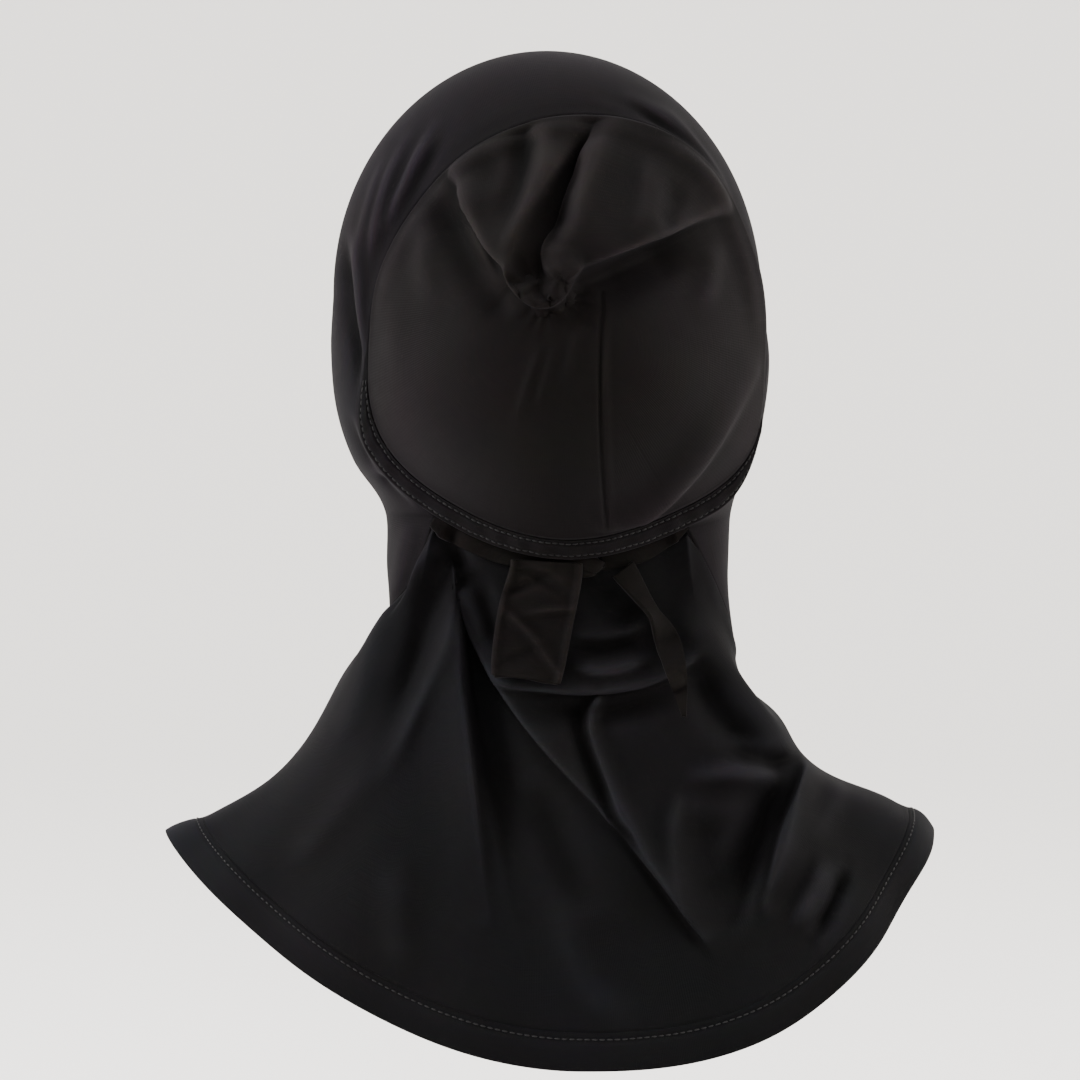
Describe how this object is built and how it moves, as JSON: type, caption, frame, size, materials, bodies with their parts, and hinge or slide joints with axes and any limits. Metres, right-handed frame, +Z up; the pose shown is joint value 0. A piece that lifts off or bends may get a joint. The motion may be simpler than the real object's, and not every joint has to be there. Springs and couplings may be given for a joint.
{
  "type": "hijab underscarf cap with gathered back bag, tied nape casing and neck cape",
  "caption": "Black jersey hijab underscarf: hood, gathered back bag, tied nape casing and short neck cape, as worn on a head.",
  "frame": {"origin": "inside of the crown, where the hood sits on the head", "axes": "+Z up, +Y out through the face opening, +X to the wearer's right"},
  "size_m": [0.3326, 0.2299, 0.4215],
  "materials": {
    "hood_jersey": "matte fine jersey",
    "cape_jersey": "matte fine jersey",
    "hem_jersey": "doubled jersey with flat stitching",
    "tie_jersey": "folded and stitched jersey"
  },
  "bodies": {
    "root": {"face_hem": "hem_jersey", "hood_panel": "hood_jersey", "back_bag": "hood_jersey", "gather_pucker": "hood_jersey", "nape_casing": "hem_jersey", "neck_cape": "cape_jersey", "cape_hem": "hem_jersey", "tie_knot": "tie_jersey", "tie_strap_left": "tie_jersey", "tie_strap_right": "tie_jersey", "tie_tail_left": "tie_jersey", "tie_tail_right": "tie_jersey"}
  },
  "joints": []
}
